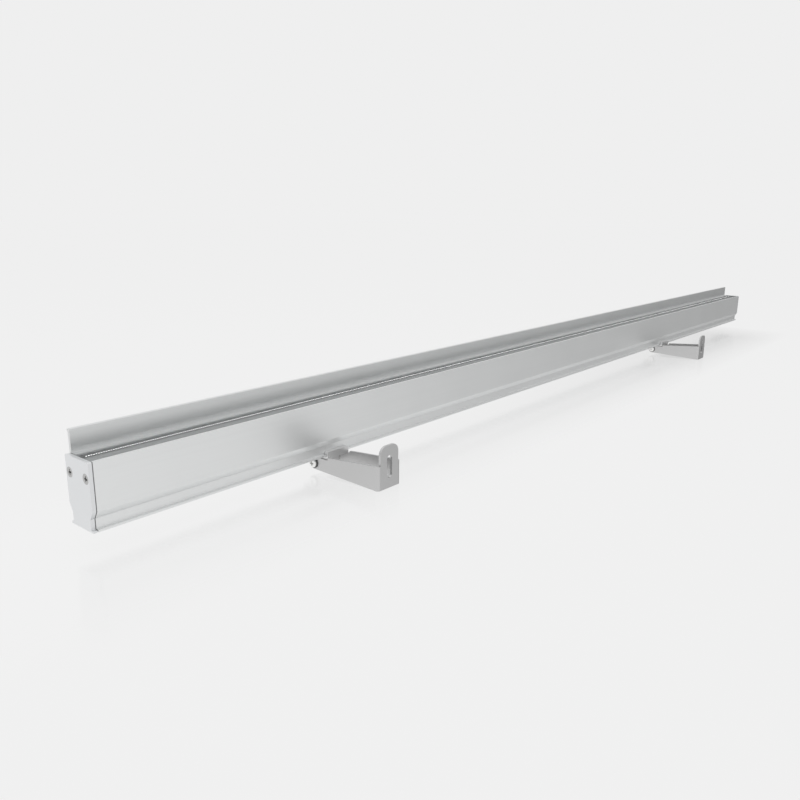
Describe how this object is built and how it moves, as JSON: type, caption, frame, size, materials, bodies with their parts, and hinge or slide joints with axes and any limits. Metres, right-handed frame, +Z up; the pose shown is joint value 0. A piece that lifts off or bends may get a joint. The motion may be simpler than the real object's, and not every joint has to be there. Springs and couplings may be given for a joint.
{
  "type": "wall washer light",
  "caption": "Slim linear wall washer bar with an upright glare visor, carried on two tilting sheet metal wall arms with rail clips.",
  "frame": {"origin": "middle of the near arm's wall slot, on the wall plane", "axes": "+X along the bar from the near end cap to the far one, +Y away from the wall, +Z up, the way the light shines"},
  "size_m": [1, 0.0657, 0.0592],
  "materials": {
    "profile": "satin anodised",
    "visor": "satin anodised",
    "end_cap": "satin anodised",
    "cover_glass": "clear",
    "sealant": "silicone",
    "tape": "matt",
    "board_white": "solder mask",
    "line_silicone": "milky",
    "gasket": "matt",
    "screw_steel": "bright",
    "washer_steel": "blackened",
    "tray_plastic": "matt",
    "board_green": "solder mask",
    "component_black": "moulded",
    "film_block": "moulded",
    "lever_plastic": "moulded",
    "terminal_plastic": "moulded",
    "lead_jacket": "insulation",
    "gland_plastic": "moulded",
    "arm_metal": "satin",
    "clip_metal": "satin",
    "liner": "matt",
    "nylon": "moulded"
  },
  "bodies": {
    "near_arm": {"near_wall_arm": "arm_metal", "near_pivot_bolt": "screw_steel", "near_pivot_washers": "washer_steel", "near_friction_washers": "nylon", "near_pivot_nut": "screw_steel"},
    "near_clip": {"near_rail_clip": "clip_metal", "near_clip_liner": "liner"},
    "bar": {"housing": "profile", "visor": "visor", "cover": "cover_glass", "cover_sealant": "sealant", "thermal_tape": "tape", "led_board": "board_white", "led_line": "line_silicone", "end_cap_near": "end_cap", "end_cap_far": "end_cap", "end_gaskets": "gasket", "end_screws": "screw_steel", "driver_tray": "tray_plastic", "driver_board": "board_green", "driver_inductor": "component_black", "driver_capacitors": "film_block", "driver_chips": "component_black", "driver_fuse": "component_black", "supply_terminal": "terminal_plastic", "terminal_levers": "lever_plastic", "led_leads": "lead_jacket", "cable_gland": "gland_plastic", "gland_seal": "gasket", "gland_nut": "gland_plastic"},
    "far_clip": {"far_rail_clip": "clip_metal", "far_clip_liner": "liner"},
    "far_arm": {"far_wall_arm": "arm_metal", "far_pivot_bolt": "screw_steel", "far_pivot_washers": "washer_steel", "far_friction_washers": "nylon", "far_pivot_nut": "screw_steel"}
  },
  "joints": [
    {"name": "near_tilt", "type": "hinge", "parent": "near_arm", "child": "near_clip", "pos_m": [0, 0.0542, -0.00725], "axis": [-1, 0, 0], "range_deg": [0, 90]},
    {"name": "near_slide", "type": "slide", "parent": "near_clip", "child": "bar", "axis": [1, 0, 0], "range_m": [-0.27, 0.15]},
    {"name": "far_slide", "type": "slide", "parent": "bar", "child": "far_clip", "axis": [1, 0, 0], "range_m": [-0.25, 0.27]},
    {"name": "far_tilt", "type": "hinge", "parent": "far_clip", "child": "far_arm", "pos_m": [0.555, 0.0542, -0.00725], "axis": [-1, 0, 0], "range_deg": [-90, 0]}
  ],
  "couplings": [
    {"joint": "far_tilt", "follows": "near_tilt", "ratio": -1}
  ]
}
